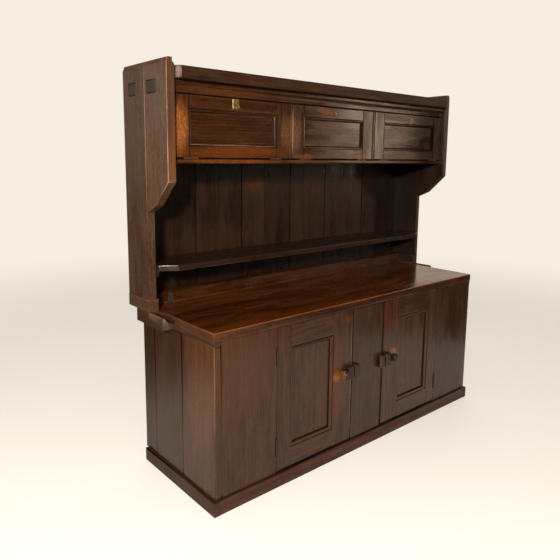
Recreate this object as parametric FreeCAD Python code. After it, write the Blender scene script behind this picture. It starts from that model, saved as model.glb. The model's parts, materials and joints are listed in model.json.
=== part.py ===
import FreeCAD, Part
import math
import os

# Free-standing oak dresser: a plinth base with two doors carries an open hutch with three drop flaps.
# Millimetres. X runs along the front, Y from the plinth's front face to the back, Z up from the floor.

V = FreeCAD.Vector
ease = 1.5                      # chamfer on the arrises of the boards
plinth_ease = 3.0
top_ease = 2.0
block_ease = 2.5                # on the bolts' blocks and the hutch's feet
metal_ease = 0.6
past = 1.0                      # a cutting shape runs this far past a face

# plinth and base carcass
plinth_half = 965.0
plinth_depth = 612.0
plinth_height = 64.0
plinth_end = 35.0               # thickness of the plinth's end boards
plinth_front_inset = 1.5
plinth_board = 45.0             # thickness of its front and back boards
plinth_step = 13.0              # how far the plinth stands proud of the carcass
base_half = plinth_half - plinth_step
base_front = plinth_step
base_back = 624.0
base_height = 800.0
side_board = 35.0
side_joints = (270.0, 515.0)    # joints between the three boards of a side
top_thick = 38.0
top_overhang = 3.0
side_rail_height = 22.0
bottom_thick = 24.0
back_thick = 18.0
base_back_boards = 9
partition_thick = 24.0
base_shelf_height = 400.0
base_shelf_thick = 22.0
cleat_wide = 20.0
cleat_tall = 25.0

# doors between the fixed boards of the front
front_thick = 24.0
fixed_edge = 617.0              # inner edge of a fixed front board, from the middle
door_outer = 614.5
door_inner = 121.5
stile_half = 120.0              # half width of the centre stile
door_foot_gap = 10.0
door_head_gap = 2.0
hinge_stile = 80.0
lock_stile = 132.0
door_top_rail = 105.0
door_bottom_rail = 91.0
door_bead = 21.0
bead_quirk = 2.0                # the bead lies this far below the frame's face
bead_flat = 0.3                 # share of the bead's width that is flat
bead_facets = 4
door_recess = 14.0
panel_thick = 6.0
head_rail_tall = 40.0
head_rail_thick = 24.0
stop_gap = 1.0                  # a closed door or flap stays this far off its stop

# butt hinges
door_hinge_heights = (193.0, 625.0)
door_hinge_length = 86.0
flap_hinge_length = 70.0
flap_hinge_inset = 85.0         # from a flap's end to the middle of its hinge
knuckle_proud = 1.5
door_butt = {"knuckle": 5.0, "leaf": 2.0, "reach": 22.0, "pin": 2.0}
flap_butt = {"knuckle": 4.0, "leaf": 1.8, "reach": 18.0, "pin": 1.6}
knuckle_play = 0.2              # between knuckles, along the pin
running = 0.05                  # radial clearance of a pin
hinge_air = 0.4                 # room round a knuckle

# wooden sliding bolts
bolt_height = 441.0
bolt_out = 14.5                 # bar's middle, from the door's face
bar_deep = 13.0
bar_tall = 28.0
bar_room = 0.5
block_deep = 27.0
block_tall = 66.0
guide_x = (-167.0, -129.0)
keeper_x = (-118.0, -83.0)
bar_x = (-205.0, -122.0)
knob_x = (-212.0, -184.0)
knob_radius = 19.0
knob_tip = 12.0                 # radius of the knob's outer end
knob_neck = 14.0
octagon_edge = 0.4142           # half a side of an octagon over its inner radius
knob_bevel = 7.0
knob_air = 2.0                  # between the knob and the door's face

# bearers and hutch
bearer_out = 1011.0
bearer_y = (314.0, 569.0)
bearer_bend = 350.0             # where the bearer starts to curve in
bearer_plan_mid = (-990.0, 322.0)
bearer_under_mid = (333.0, 742.0)
bearer_nose = 52.0              # height of its front end
gouge_radius = 22.0
gouge_start = V(-982.0, 452.0, 818.0)
gouge_end = V(-968.0, 290.0, 790.0)
foot_inner = 958.5
foot_front = 452.0
foot_back = 650.0
foot_height = 58.0
hutch_out = 1007.0
hutch_side = 38.5
hutch_in = hutch_out - hutch_side
wing_front = 258.0
wing_joint = 450.0
hutch_back = 654.0
hutch_top = 1902.0
wing_foot = ((258.0, 1398.0), (372.0, 1291.0), (450.0, 1257.0))
wing_waste = 50.0
joint_vee = 2.5
cap_inner = 10.0                # the side's top end steps in on the inner face
cap_step = (1876.0, 1886.0)
cap_outer = 6.0
cap_fall = 18.0
cap_back = 12.0
sill_front = 561.0
back_front = 630.0
back_joints = (-805.0, -645.0, -508.0, -354.0, -194.0, -3.0, 101.0, 282.0, 443.0, 624.0, 785.0)
back_top = 1842.0
beam_z = (1766.0, 1822.0)
front_beam_y = (347.0, 432.0)
rear_beam_y = (529.0, 602.0)
tenon_room = 1.5
tenon_short = 1.5               # tenon ends stop this far inside the sides' faces
shelf_z = (991.0, 1018.0)
shelf_front = 383.0
shelf_end = 430.0
shelf_cant = 75.0
shelf_cleat = (14.0, 30.0)

# upper cabinet and its flaps
cabinet_z = (1475.0, 1497.0)    # bottom board
cabinet_front = 283.0
divider_x = 312.0
divider_thick = 18.0
frieze_deep = 34.0
frieze_strip = 21.0             # raised strip under the cornice
frieze_proud = 8.0
bead_radius = 4.0
stop_lip = 14.0
cornice_front = 237.0
cornice_z = (1821.0, 1871.5)
cornice_deep = 68.0
cornice_cant = 21.0
flap_thick = 22.0
flap_gap = 2.0
flap_side_gap = 1.5
flap_stile = 80.0
flap_top_rail = 57.0
flap_bottom_rail = 53.0
flap_bead = 14.0
flap_recess = 11.0
keyhole_height = 1736.0
keyhole_radius = 3.0
lock_plate = (34.0, 3.0, 46.0)
lock_drop = 2.0                 # from the flap's top edge
lock_hole_x = -5.0
plate_pin = (2.0, 1.2)          # radius and height
plate_pin_inset = (5.0, 6.0)
escutcheon_radius = 7.5
escutcheon_thick = 1.5
ring_radius = 9.0
ring_wire = 1.4
ring_post = 3.4
ring_post_out = 4.5             # ring's axis, from the lock plate
ring_x = 6.0
ring_room = 0.3
tie_plate = (28.0, 3.0, 50.0)
tie_x = 836.0
tie_lift = 1.0
screw = (3.5, 1.2)              # radius and height of a head
screw_inset = 12.0

under_top = base_height - top_thick
rail_foot = under_top - side_rail_height
bottom_top = plinth_height + bottom_thick
foot_top = base_height + foot_height
door_z = (plinth_height + door_foot_gap, under_top - door_head_gap)
door_back = base_front + front_thick
flap_z = (cabinet_z[1] + flap_gap, beam_z[0] - flap_gap)
knob_middle = base_front - knob_air - knob_radius
front_most = knob_middle - knob_radius
middle_y = (front_most + hutch_back) / 2

nodes = {}


def box(x, y, z):
    return Part.makeBox(x[1] - x[0], y[1] - y[0], z[1] - z[0], V(x[0], y[0], z[0]))


def board(x, y, z, chamfer=ease):
    plain = box(x, y, z)
    return plain.makeChamfer(chamfer, plain.Edges)


def mirrored(shape):
    return shape.mirror(V(0, 0, 0), V(1, 0, 0))


def prism(points, direction):
    wire = Part.makePolygon(points + [points[0]])
    return Part.Face(wire).extrude(direction)


def both_sides(name, shape):
    nodes["left_" + name] = shape
    nodes["right_" + name] = mirrored(shape)


def rectangle(x, z, y, inset):
    corners = [V(x[0] + inset, y, z[0] + inset), V(x[1] - inset, y, z[0] + inset),
               V(x[1] - inset, y, z[1] - inset), V(x[0] + inset, y, z[1] - inset)]
    return Part.makePolygon(corners + [corners[0]])


# A frame of two stiles and two rails round an opening, lined with four mitred strips of rounded bead.
def frame_members(x, z, front, thick, stiles, rails, bead, recess):
    y = (front, front + thick)
    opening_x = (x[0] + stiles[0], x[1] - stiles[1])
    opening_z = (z[0] + rails[0], z[1] - rails[1])
    members = [board((x[0], opening_x[0]), y, z),
               board((opening_x[1], x[1]), y, z),
               board(opening_x, y, (z[0], opening_z[0])),
               board(opening_x, y, (opening_z[1], z[1]))]
    quirk = front + bead_quirk
    floor = front + recess
    sections = []
    for step in range(bead_facets + 1):
        turn = math.pi / 2 * step / bead_facets
        inset = bead * (bead_flat + (1 - bead_flat) * math.sin(turn))
        depth = quirk + (floor - quirk) * (1 - math.cos(turn))
        sections.append(rectangle(opening_x, opening_z, depth, inset))
    ring = box(opening_x, (quirk, floor), opening_z).cut(Part.makeLoft(sections, True, True))
    left, right = opening_x
    foot, head = opening_z
    strips = [[(left, foot), (right, foot), (right - bead, foot + bead), (left + bead, foot + bead)],
              [(left, head), (right, head), (right - bead, head - bead), (left + bead, head - bead)],
              [(left, foot), (left, head), (left + bead, head - bead), (left + bead, foot + bead)],
              [(right, foot), (right, head), (right - bead, head - bead), (right - bead, foot + bead)]]
    for corners in strips:
        members.append(ring.common(prism([V(px, quirk, pz) for px, pz in corners], V(0, floor - quirk, 0))))
    panel = box(opening_x, (floor, floor + panel_thick), opening_z)
    return members, panel


# A butt hinge about its own Z axis: the fixed leaf is on the -X side, the moving leaf on +X, both towards +Y.
def butt_hinge(length, gap, knuckle, leaf, reach, pin):
    half = length / 2
    third = length / 6
    play = knuckle_play

    def barrel(radius, low, high):
        return Part.makeCylinder(radius, high - low, V(0, 0, low))

    fixed = box((-gap / 2 - leaf, -gap / 2), (0, reach), (-half, half))
    fixed = fixed.cut(barrel(knuckle + hinge_air, -third - play, third + play))
    fixed = fixed.fuse([barrel(knuckle, -half, -third - play), barrel(knuckle, third + play, half)])
    fixed = fixed.cut(barrel(pin, -half - past, half + past))
    moving = box((gap / 2, gap / 2 + leaf), (0, reach), (-half, half))
    moving = moving.cut(barrel(knuckle + hinge_air, -half - past, -third))
    moving = moving.cut(barrel(knuckle + hinge_air, third, half + past))
    moving = moving.fuse(barrel(knuckle, -third, third))
    moving = moving.cut(barrel(pin + running, -third - past, third + past))
    rod = barrel(pin, -half, half)
    room = barrel(knuckle + hinge_air, -half - play, half + play)
    fixed_pocket = box((-gap / 2 - leaf, 0), (0, reach), (-half, half)).fuse(room)
    moving_pocket = box((0, gap / 2 + leaf), (0, reach), (-half, half)).fuse(room)
    return {"fixed": fixed, "moving": moving, "pin": rod,
            "fixed_pocket": fixed_pocket, "moving_pocket": moving_pocket}


def placed(hinge, placement):
    moved = {}
    for name, shape in hinge.items():
        copy = shape.copy()
        copy.Placement = placement.multiply(copy.Placement)
        moved[name] = copy
    return moved


def keyhole(x, y, z, deep):
    round_part = Part.makeCylinder(keyhole_radius, deep, V(x, y, z), V(0, 1, 0))
    slot = box((x - keyhole_radius / 2, x + keyhole_radius / 2), (y, y + deep), (z - 3 * keyhole_radius, z))
    return round_part.fuse(slot)


# Plinth.
plinth_z = (0.0, plinth_height)
plinth_inner = plinth_half - plinth_end
plinth_ends = board((-plinth_half, -plinth_inner), (0, plinth_depth), plinth_z, plinth_ease)
nodes["plinth_ends"] = Part.makeCompound([plinth_ends, mirrored(plinth_ends)])
plinth_back = plinth_depth - plinth_front_inset
plinth_x = (-plinth_inner, plinth_inner)
nodes["plinth_front"] = board(plinth_x, (plinth_front_inset, plinth_board), plinth_z)
nodes["plinth_back"] = board(plinth_x, (plinth_back - plinth_board, plinth_back), plinth_z)

# Base carcass: three upright boards in each side, top, bottom, back, partition and shelves.
base_in = base_half - side_board
side_edges = (base_front,) + side_joints + (base_back,)
side_boards = [board((-base_half, -base_in), side_edges[k:k + 2], (plinth_height, rail_foot))
               for k in range(len(side_edges) - 1)]
both_sides("side_boards", Part.makeCompound(side_boards))
top_half = base_half + top_overhang
top_y = (base_front - top_overhang, base_back)
nodes["base_top"] = board((-top_half, top_half), top_y, (under_top, base_height), top_ease)
inner_back = base_back - back_thick
stop_y = door_back + stop_gap
nodes["base_bottom"] = box((-base_in, base_in), (stop_y, inner_back), (plinth_height, bottom_top))
pitch = 2 * base_in / base_back_boards
back_set = [board((-base_in + k * pitch, -base_in + (k + 1) * pitch), (inner_back, base_back),
                  (plinth_height, under_top)) for k in range(base_back_boards)]
nodes["base_back_boards"] = Part.makeCompound(back_set)
rail_y = (stop_y, stop_y + head_rail_thick)
head_rail = box((-base_in, base_in), rail_y, (under_top - head_rail_tall, under_top))
nodes["head_rail"] = head_rail
partition_half = partition_thick / 2
partition = box((-partition_half, partition_half), (door_back, inner_back), (bottom_top, under_top))
nodes["base_partition"] = partition.cut(head_rail)
shelf_y = (rail_y[1], inner_back)
shelf = board((-base_in, -partition_half), shelf_y, (base_shelf_height, base_shelf_height + base_shelf_thick))
nodes["base_shelves"] = Part.makeCompound([shelf, mirrored(shelf)])
cleat_z = (base_shelf_height - cleat_tall, base_shelf_height)
cleats = [board((-base_in, -base_in + cleat_wide), shelf_y, cleat_z),
          board((-partition_half - cleat_wide, -partition_half), shelf_y, cleat_z)]

# Front: fixed boards, centre stile and the left door, mirrored for the right.
front_y = (base_front, door_back)
front_z = (plinth_height, under_top)
fixed_board = board((-base_in, -fixed_edge), front_y, front_z)
nodes["centre_stile"] = board((-stile_half, stile_half), front_y, front_z)
door_x = (-door_outer, -door_inner)
door_frame, door_panel = frame_members(door_x, door_z, base_front, front_thick, (hinge_stile, lock_stile),
                                       (door_bottom_rail, door_top_rail), door_bead, door_recess)
door_axis = (fixed_edge + door_outer) / 2
hinge = butt_hinge(door_hinge_length, fixed_edge - door_outer, **door_butt)
door_leaves = []
frame_leaves = []
for height in door_hinge_heights:
    here = FreeCAD.Placement(V(-door_axis, base_front - knuckle_proud, height), FreeCAD.Rotation())
    parts = placed(hinge, here)
    door_leaves.append(parts["moving"])
    frame_leaves += [parts["fixed"], parts["pin"]]
    fixed_board = fixed_board.cut(parts["fixed_pocket"])
    door_frame[0] = door_frame[0].cut(parts["moving_pocket"])
both_sides("front_board", fixed_board)
both_sides("door_frame", Part.makeCompound(door_frame))
both_sides("door_panel", door_panel)
both_sides("door_hinge_leaves", Part.makeCompound(door_leaves))
nodes["door_hinge_butts"] = Part.makeCompound(frame_leaves + [mirrored(leaf) for leaf in frame_leaves])

# Sliding bolts: a flat bar with an eight-sided knob runs in a guide block on the door, into a keeper.
bar_y = (base_front - bolt_out - bar_deep / 2, base_front - bolt_out + bar_deep / 2)
bar_z = (bolt_height - bar_tall / 2, bolt_height + bar_tall / 2)
block_y = (base_front - block_deep, base_front)
block_z = (bolt_height - block_tall / 2, bolt_height + block_tall / 2)
mortise = box((guide_x[0] - past, keeper_x[1] + past), (bar_y[0] - bar_room, bar_y[1] + bar_room),
              (bar_z[0] - bar_room, bar_z[1] + bar_room))


def octagon(x, radius):
    edge = radius * octagon_edge
    ring = [(radius, edge), (edge, radius), (-edge, radius), (-radius, edge),
            (-radius, -edge), (-edge, -radius), (edge, -radius), (radius, -edge)]
    corners = [V(x, knob_middle + y, bolt_height + z) for y, z in ring]
    return Part.makePolygon(corners + [corners[0]])


knob_rings = [octagon(knob_x[0], knob_tip), octagon(knob_x[0] + knob_bevel, knob_radius),
              octagon(knob_x[1] - knob_bevel, knob_radius), octagon(knob_x[1], knob_neck)]
knob = Part.makeLoft(knob_rings, True, True)
both_sides("bolt_guide", board(guide_x, block_y, block_z, block_ease).cut(mortise))
both_sides("bolt", box(bar_x, bar_y, bar_z).fuse(knob))
keeper = board(keeper_x, block_y, block_z, block_ease).cut(mortise)
nodes["bolt_keepers"] = Part.makeCompound([keeper, mirrored(keeper)])

# Bearers: a flush rail under the top swells out to carry the hutch, and ends in a carved scoop.
bearer_low = bearer_y[0]
outer_curve = Part.Arc(V(-bearer_out, bearer_bend, rail_foot), V(*bearer_plan_mid, rail_foot),
                       V(-top_half, bearer_low, rail_foot)).toShape()
plan_points = [V(-top_half, bearer_low, rail_foot), V(-top_half, bearer_y[1], rail_foot),
               V(-bearer_out, bearer_y[1], rail_foot), V(-bearer_out, bearer_bend, rail_foot)]
plan = Part.Wire([outer_curve] + Part.makePolygon(plan_points).Edges)
bearer_tall = base_height - rail_foot
plan_block = Part.Face(plan).extrude(V(0, 0, bearer_tall))
under_curve = Part.Arc(V(-bearer_out, bearer_bend, rail_foot), V(-bearer_out, *bearer_under_mid),
                       V(-bearer_out, bearer_low, base_height - bearer_nose)).toShape()
profile_corners = [(bearer_low, base_height - bearer_nose), (bearer_low, base_height),
                   (bearer_y[1], base_height), (bearer_y[1], rail_foot), (bearer_bend, rail_foot)]
profile_points = [V(-bearer_out, y, z) for y, z in profile_corners]
profile = Part.Wire([under_curve] + Part.makePolygon(profile_points).Edges)
profile_block = Part.Face(profile).extrude(V(bearer_out - top_half, 0, 0))
gouge_run = gouge_end - gouge_start
gouge = Part.makeCylinder(gouge_radius, gouge_run.Length, gouge_start, gouge_run)
side_rail = box((-top_half, -base_in), (base_front, base_back), (rail_foot, under_top))
both_sides("bearer", plan_block.common(profile_block).cut(gouge).fuse(side_rail).removeSplitter())

# Hutch sides: a sledge foot, a rear board to full height and a wing board with a slanted lower end.
back_y = (back_front, back_front + back_thick)
foot = board((-bearer_out, -foot_inner), (foot_front, foot_back), (base_height, foot_top), block_ease)
foot_rabbet = box((-hutch_in, -foot_inner + past), (back_front, foot_back + past),
                  (base_height - past, foot_top + past))
both_sides("foot", foot.cut(foot_rabbet))


def side_slab(y, foot):
    inner_cap = -hutch_in - cap_inner
    corners = [(-hutch_out, foot), (-hutch_in, foot), (-hutch_in, cap_step[0]),
               (inner_cap, cap_step[1]), (inner_cap, hutch_top),
               (-hutch_out + cap_outer, hutch_top), (-hutch_out, hutch_top - cap_fall)]
    return prism([V(x, y[0], z) for x, z in corners], V(0, y[1] - y[0], 0))


def vee(x, y, low):
    corners = [V(x - joint_vee, y, low), V(x, y - joint_vee, low),
               V(x + joint_vee, y, low), V(x, y + joint_vee, low)]
    return prism(corners, V(0, 0, hutch_top - low))


wing_low = wing_foot[-1][1]
grooves = [vee(-hutch_out, wing_joint, wing_low), vee(-hutch_in, wing_joint, wing_low)]
waste_low = wing_low - wing_waste
below_wing = [(wing_front - past, waste_low), (wing_front - past, wing_foot[0][1])] + list(wing_foot)
below_wing += [(wing_joint + past, wing_low), (wing_joint + past, waste_low)]
waste = prism([V(-hutch_out - past, y, z) for y, z in below_wing], V(hutch_side + 2 * past, 0, 0))
beam_reach = hutch_out - tenon_short


def tenon_hole(y):
    return box((-hutch_out - past, -hutch_in + past), (y[0] - tenon_room, y[1] + tenon_room),
               (beam_z[0] - tenon_room, beam_z[1] + tenon_room))


wing = side_slab((wing_front, wing_joint), wing_low - past).cut([waste, tenon_hole(front_beam_y)] + grooves)
both_sides("wing_board", wing)
back_notch = box((-hutch_out - past, -hutch_in + past), (hutch_back - cap_back, hutch_back + past),
                 (hutch_top - cap_fall, hutch_top + past))
rear = side_slab((wing_joint, hutch_back), foot_top).cut([back_notch, tenon_hole(rear_beam_y)] + grooves)
both_sides("rear_board", rear)

# Hutch cross pieces: sill, top beams whose tenons show outside, back boards, shelf and its cleats.
nodes["hutch_sill"] = board((-foot_inner, foot_inner), (sill_front, back_front), (base_height, foot_top))
nodes["front_top_beam"] = box((-beam_reach, beam_reach), front_beam_y, beam_z)
nodes["rear_top_beam"] = box((-beam_reach, beam_reach), rear_beam_y, beam_z)
back_edges = (-hutch_in,) + back_joints + (hutch_in,)
upper_back = [board(back_edges[k:k + 2], back_y, (base_height, back_top), top_ease)
              for k in range(len(back_edges) - 1)]
nodes["hutch_back_boards"] = Part.makeCompound(upper_back)
shelf_plan = [(-hutch_in, back_front), (-hutch_in, shelf_end), (-hutch_in + shelf_cant, shelf_front),
              (hutch_in - shelf_cant, shelf_front), (hutch_in, shelf_end), (hutch_in, back_front)]
shelf_tall = V(0, 0, shelf_z[1] - shelf_z[0])
nodes["hutch_shelf"] = prism([V(x, y, shelf_z[0]) for x, y in shelf_plan], shelf_tall)
cleats.append(board((-hutch_in, -hutch_in + shelf_cleat[0]), (wing_joint, back_front),
                    (shelf_z[0] - shelf_cleat[1], shelf_z[0])))
nodes["shelf_cleats"] = Part.makeCompound(cleats + [mirrored(cleat) for cleat in cleats])

# Upper cabinet: bottom, top, dividers, frieze with its bead and stop lip, and the cornice.
cabinet_bottom = board((-hutch_in, hutch_in), (cabinet_front, back_front), cabinet_z)
frieze_back = cabinet_front + frieze_deep
cornice_back = cornice_front + cornice_deep
nodes["cabinet_top"] = box((-hutch_in, hutch_in), (cornice_back, back_front), (beam_z[1], back_top))
divider = box((-divider_x - divider_thick / 2, -divider_x + divider_thick / 2), (cabinet_front, back_front),
              (cabinet_z[1], beam_z[0]))
nodes["cabinet_dividers"] = Part.makeCompound([divider, mirrored(divider)])
frieze_x = (-hutch_in, hutch_in)
frieze_z = (beam_z[0], cornice_z[0])
frieze = box(frieze_x, (cabinet_front, frieze_back), frieze_z)
strip_low = frieze_z[1] - frieze_strip
frieze = frieze.fuse(box(frieze_x, (cabinet_front - frieze_proud, cabinet_front), (strip_low, frieze_z[1])))
bead_start = V(-hutch_in, cabinet_front, strip_low - bead_radius)
bead = Part.makeCylinder(bead_radius, 2 * hutch_in, bead_start, V(1, 0, 0))
lip_y = (cabinet_front + flap_thick + stop_gap, frieze_back)
lip = box(frieze_x, lip_y, (frieze_z[0] - stop_lip, frieze_z[0]))
divider_room = box((-divider_x - divider_thick / 2, -divider_x + divider_thick / 2), lip_y,
                   (frieze_z[0] - stop_lip, frieze_z[0]))
nodes["frieze"] = frieze.fuse([bead, lip]).cut([divider_room, mirrored(divider_room)]).removeSplitter()
cornice_plan = [(-hutch_in, cornice_back), (-hutch_in, cornice_front + cornice_cant),
                (-hutch_in + cornice_cant, cornice_front), (hutch_in - cornice_cant, cornice_front),
                (hutch_in, cornice_front + cornice_cant), (hutch_in, cornice_back)]
cornice_rise = V(0, 0, cornice_z[1] - cornice_z[0])
nodes["cornice"] = prism([V(x, y, cornice_z[0]) for x, y in cornice_plan], cornice_rise)

# Flaps: hinged along their lower edges, each with its keyhole at the middle of the top rail.
flap_edge = divider_x + divider_thick / 2 + flap_side_gap
centre_half = divider_x - divider_thick / 2 - flap_side_gap
flap_spans = {"left_flap": (-hutch_in + flap_side_gap, -flap_edge),
              "centre_flap": (-centre_half, centre_half),
              "right_flap": (flap_edge, hutch_in - flap_side_gap)}
flap_axis = cabinet_z[1] + flap_gap / 2
flap_hinge = butt_hinge(flap_hinge_length, flap_gap, **flap_butt)
along_x = FreeCAD.Rotation(V(0, 1, 0), -90)
flap_butts = []
for flap, span in flap_spans.items():
    frame, panel = frame_members(span, flap_z, cabinet_front, flap_thick, (flap_stile, flap_stile),
                                 (flap_bottom_rail, flap_top_rail), flap_bead, flap_recess)
    leaves = []
    for at in (span[0] + flap_hinge_inset, span[1] - flap_hinge_inset):
        here = FreeCAD.Placement(V(at, cabinet_front - knuckle_proud, flap_axis), along_x)
        parts = placed(flap_hinge, here)
        leaves.append(parts["moving"])
        flap_butts += [parts["fixed"], parts["pin"]]
        cabinet_bottom = cabinet_bottom.cut(parts["fixed_pocket"])
        frame = [member.cut(parts["moving_pocket"]) for member in frame]
    middle = (span[0] + span[1]) / 2
    frame[3] = frame[3].cut(keyhole(middle, cabinet_front - past, keyhole_height, flap_thick / 2))
    nodes[flap + "_frame"] = Part.makeCompound(frame)
    nodes[flap + "_panel"] = panel
    nodes[flap + "_hinge_leaves"] = Part.makeCompound(leaves)
    if flap != "left_flap":
        plate_face = cabinet_front - escutcheon_thick
        plate_middle = V(middle, plate_face, keyhole_height)
        plate = Part.makeCylinder(escutcheon_radius, escutcheon_thick, plate_middle, V(0, 1, 0))
        hole = keyhole(middle, plate_face - past, keyhole_height, escutcheon_thick + 2 * past)
        nodes[flap + "_escutcheon"] = plate.cut(hole)
nodes["cabinet_bottom"] = cabinet_bottom
nodes["flap_hinge_butts"] = Part.makeCompound(flap_butts)

# Lock plate of the left flap, with a drilled post that carries a drop ring.
lock_middle = sum(flap_spans["left_flap"]) / 2
plate_face = cabinet_front - lock_plate[1]
plate_half = lock_plate[0] / 2
plate_top = flap_z[1] - lock_drop
plate_foot = plate_top - lock_plate[2]
plate = board((lock_middle - plate_half, lock_middle + plate_half), (plate_face, cabinet_front),
              (plate_foot, plate_top), metal_ease)
post_end = plate_face - ring_post_out - ring_post
post = Part.makeCylinder(ring_post, plate_face - post_end, V(lock_middle + ring_x, post_end, keyhole_height),
                         V(0, 1, 0))
ring_y = plate_face - ring_post_out
eye_radius = ring_wire + ring_post ** 2 / (2 * ring_radius) + ring_room
eye_start = V(lock_middle + ring_x - 2 * ring_post, ring_y, keyhole_height)
eye = Part.makeCylinder(eye_radius, 4 * ring_post, eye_start, V(1, 0, 0))
pin_x = plate_half - plate_pin_inset[0]
pins = [Part.makeCylinder(*plate_pin, V(lock_middle + x, plate_face - plate_pin[1], z), V(0, 1, 0))
        for x in (-pin_x, pin_x) for z in (plate_foot + plate_pin_inset[1], plate_top - plate_pin_inset[1])]
lock_hole = keyhole(lock_middle + lock_hole_x, plate_face - past, keyhole_height, lock_plate[1] + 2 * past)
nodes["left_flap_lock_plate"] = plate.cut(lock_hole).fuse([post] + pins).cut(eye).removeSplitter()
nodes["lock_ring"] = Part.makeTorus(ring_radius, ring_wire,
                                    V(lock_middle + ring_x, ring_y, keyhole_height - ring_radius), V(0, 1, 0))

# Iron tie plates on the sill, each with two screw heads.
tie_y = (sill_front - tie_plate[1], sill_front)
tie_z = (base_height + tie_lift, base_height + tie_lift + tie_plate[2])
ties = []
for side in (-tie_x, tie_x):
    ties.append(board((side - tie_plate[0] / 2, side + tie_plate[0] / 2), tie_y, tie_z, metal_ease))
    for height in (tie_z[0] + screw_inset, tie_z[1] - screw_inset):
        ties.append(Part.makeCylinder(*screw, V(side, tie_y[0] - screw[1], height), V(0, 1, 0)))
nodes["tie_plates"] = Part.makeCompound(ties)

# The frame's origin lies on the floor under the middle of the whole object.
os.makedirs("parts", exist_ok=True)
for name, shape in nodes.items():
    moved = shape.copy()
    moved.translate(V(0, -middle_y, 0))
    moved.exportStep("parts/" + name + ".step")
print(len(nodes), "nodes, frame moved by", -middle_y)
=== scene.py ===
import json
import random
from functools import partial
from math import cos, pi, radians, sin, sqrt

import bmesh
import bpy
from mathutils import Matrix, Vector


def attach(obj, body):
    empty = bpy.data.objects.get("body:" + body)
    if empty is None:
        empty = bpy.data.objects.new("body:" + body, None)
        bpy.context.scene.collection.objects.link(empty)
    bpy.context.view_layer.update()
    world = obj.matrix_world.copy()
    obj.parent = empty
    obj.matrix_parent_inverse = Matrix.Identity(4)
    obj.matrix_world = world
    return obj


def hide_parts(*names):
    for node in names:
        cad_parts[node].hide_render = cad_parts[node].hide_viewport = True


# Oak dresser: plinth base with two bolted doors, open hutch with three drop flaps. Doors face -Y.
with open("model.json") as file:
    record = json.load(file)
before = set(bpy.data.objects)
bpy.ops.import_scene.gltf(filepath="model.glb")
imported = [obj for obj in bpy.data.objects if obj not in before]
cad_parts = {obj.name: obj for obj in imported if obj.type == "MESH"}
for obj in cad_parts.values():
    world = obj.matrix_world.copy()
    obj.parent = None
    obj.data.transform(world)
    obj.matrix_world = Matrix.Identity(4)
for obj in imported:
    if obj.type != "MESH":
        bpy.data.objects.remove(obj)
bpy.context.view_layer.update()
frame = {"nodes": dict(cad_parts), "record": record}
scene = bpy.context.scene
mm = 0.001
plinthToMiddle = 313.5  # pieces are drawn in mm from the plinth's front face
bodyOf = {node: body for body, nodes in frame["record"]["behaviour"]["bodies"].items() for node in nodes}
sides = ((-1, "left"), (1, "right"))
lot = random.Random(11)  # one seeded draw for every board's tone and grain
print("frame loaded,", len(bodyOf), "nodes")


def drawn(x, y, z):  # a drawn point in mm as a point of the frame
    return Vector((x, y - plinthToMiddle, z)) * mm


def drawnAt(axis, place):  # the same for a place on one axis
    return drawn(place, place, place)[axis]


def drawnOf(vert):  # the drawn point in mm of a corner
    return vert.co.x / mm, vert.co.y / mm + plinthToMiddle, vert.co.z / mm


def stain(code):  # sRGB hex to the linear colour of a socket
    parts = [int(code[k:k + 2], 16) / 255 for k in (1, 3, 5)]
    return [c / 12.92 if c <= 0.04045 else ((c + 0.055) / 1.055) ** 2.4 for c in parts] + [1.0]


def addNode(tree, kind, wires=(), stops=(), **settings):
    # wires go by socket or in the sockets' order; a node among them stands for its first live output
    node = tree.nodes.new("ShaderNode" + kind)
    for name, value in settings.items():
        setattr(node, name, value)
    for socket, value in (wires.items() if isinstance(wires, dict) else enumerate(wires)):
        if isinstance(value, bpy.types.Node):
            value = next(output for output in value.outputs if output.enabled)
        if isinstance(value, bpy.types.NodeSocket):
            tree.links.new(value, node.inputs[socket])
        else:
            node.inputs[socket].default_value = value
    for index, (place, code) in enumerate(stops):  # colour ramp: its first two stops exist already
        ramp = node.color_ramp.elements
        stop = ramp[index] if index < 2 else ramp.new(place)
        stop.position = place
        stop.color = stain(code)
    return node


def emptyTree(owner):  # clears a material's or a world's nodes, and gives back addNode for its tree
    owner.use_nodes = True
    owner.node_tree.nodes.clear()
    return partial(addNode, owner.node_tree)


smooth = {"interpolation_type": "SMOOTHSTEP"}
timesPlus = {"operation": "MULTIPLY_ADD"}
tinted = {"data_type": "RGBA"}

# Oak, fumed and stained dark, then waxed: brown-black with reddish streaks, open pores along the grain,
# lighter where hands and cloths have worn the arrises, black and dull where dirt has gathered; the same
# black is painted shade in gaps, recesses and slots.
oakGrain = {"streak": (95, 3.4, 5.0), "broad": (420, 80, 2.0), "cloud": (130, 26, 3.0), "fleck": (15, 5, 2.0),
            "pore": (45, 3, 1.0)}  # mm along, mm across, detail; pores are drawn coarse so that they show
oak = dict(
    ringGap=15, ringPerGap=0.314, pith=(0, 0.07, 0.12), lean=(0, 0.035, 0.06), stretch=(0.3, 1, 1),
    figure=dict(ring=0.1, cloud=0.14, broad=0.48, streak=0.28), stops=(0.34, 0.66, 0.5), toneLift=0.17,
    cloudEnds=(0.36, 0.64), hue=(-0.008, 0.01), depth=(0.08, -0.12), fleckEnds=(0.42, 0.64),
    poreEnds=(0.54, 0.7), poreShade=0.42, gloss=(-0.05, 0.09), polish=0.5,
    arris=dict(broad=0.5, streak=0.9), arrisEnds=(1.25, 1.65), bareRough=0.2, dirt="#120b06",
    dirtEnds=(-0.1, -0.7), dirtShare=0.9, dirtRough=0.4, ragged=dict(broad=-0.9, streak=-1.7),
    raggedMean=1.3, rubFade=(1.0, 0.35), streakHigh=0.5, poreHigh=-0.7, reliefDeep=0.7 * mm, ior=1.5,
    coatRough=0.25)


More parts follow.
